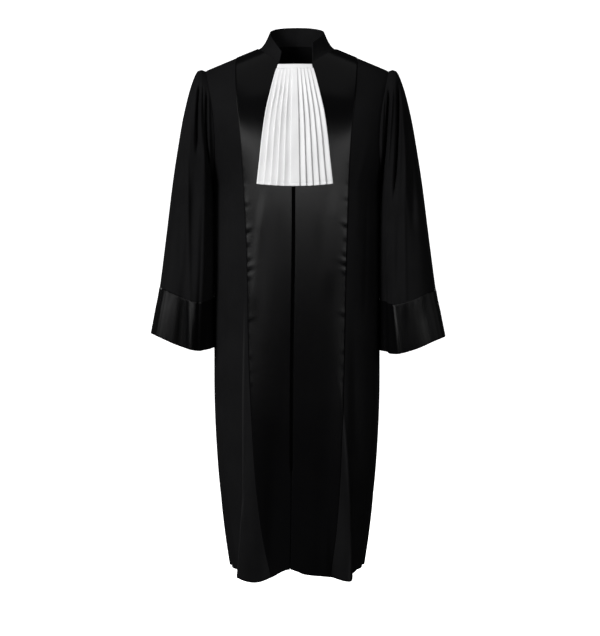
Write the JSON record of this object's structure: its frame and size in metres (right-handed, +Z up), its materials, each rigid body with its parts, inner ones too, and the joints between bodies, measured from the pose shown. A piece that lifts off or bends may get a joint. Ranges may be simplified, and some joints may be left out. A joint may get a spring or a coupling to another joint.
{
  "type": "judge robe",
  "caption": "Black judge's robe with a stand collar, satin front bands, gathered sleeves with deep satin cuffs and a pleated white bib, filled out as if worn.",
  "frame": {"origin": "midway between the two points where the shoulder seams meet the collar, where the wearer's shoulders carry the robe", "axes": "+Z up along the robe's length, -Y towards the robe's front, +X to the wearer's left"},
  "size_m": [0.7374, 0.3002, 1.374],
  "materials": {
    "robe_cloth": "matt black gabardine",
    "satin": "black satin with a soft sheen",
    "white_cotton": "pressed white cotton"
  },
  "bodies": {
    "root": {"front_right": "robe_cloth", "front_left": "robe_cloth", "back": "robe_cloth", "underlap": "robe_cloth", "collar": "robe_cloth", "sleeve_right": "robe_cloth", "sleeve_left": "robe_cloth", "band_right": "satin", "band_left": "satin", "cuff_right": "satin", "cuff_left": "satin", "jabot": "white_cotton", "jabot_band": "white_cotton"}
  },
  "joints": []
}
